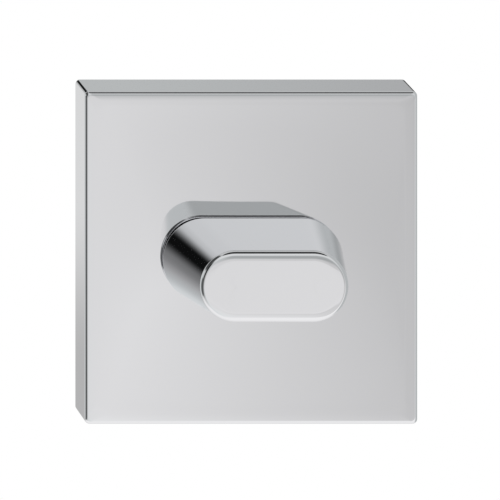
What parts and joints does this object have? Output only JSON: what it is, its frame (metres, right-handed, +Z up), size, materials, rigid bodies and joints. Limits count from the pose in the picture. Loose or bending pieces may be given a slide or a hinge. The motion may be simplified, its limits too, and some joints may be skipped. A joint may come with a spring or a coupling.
{
  "type": "bathroom thumb turn lock",
  "caption": "Tapered obround thumb turn on a square chrome rose, with a detented cam, a square spindle and bolt-through fixings behind.",
  "frame": {"origin": "on the spindle's axis, in the plane of the door's face that the rose seats on", "axes": "+Z up the door, -Y out into the room through the knob, +Y along the spindle into the door"},
  "size_m": [0.052, 0.0918, 0.052],
  "materials": {
    "polished_chrome": "polished chrome plate",
    "cast_zinc": "as-cast zinc alloy",
    "plated_steel": "bright zinc plate",
    "spring_steel": "oiled spring steel",
    "sintered_steel": "matt sintered steel",
    "nylon": "natural nylon"
  },
  "bodies": {
    "rose": {"base_plate": "cast_zinc", "fixing_bolts": "plated_steel", "bearing_bush": "nylon", "thrust_washer": "plated_steel", "wave_washer": "spring_steel", "detent_spring_upper": "spring_steel", "detent_spring_lower": "spring_steel", "keeper_plate": "plated_steel", "keeper_screws": "plated_steel", "rose_cover": "polished_chrome", "cover_grub_screw": "spring_steel", "guide_ring": "nylon"},
    "turn": {"turn_knob": "polished_chrome", "knob_grub_screw": "spring_steel", "spindle": "plated_steel", "cam_hub": "sintered_steel", "retaining_ring": "spring_steel"}
  },
  "joints": [
    {"name": "thumb_turn", "type": "hinge", "parent": "rose", "child": "turn", "pos_m": [0, 0, 0], "axis": [0, 1, 0], "range_deg": [0, 90], "deforming": ["detent_spring_upper", "detent_spring_lower"]}
  ]
}
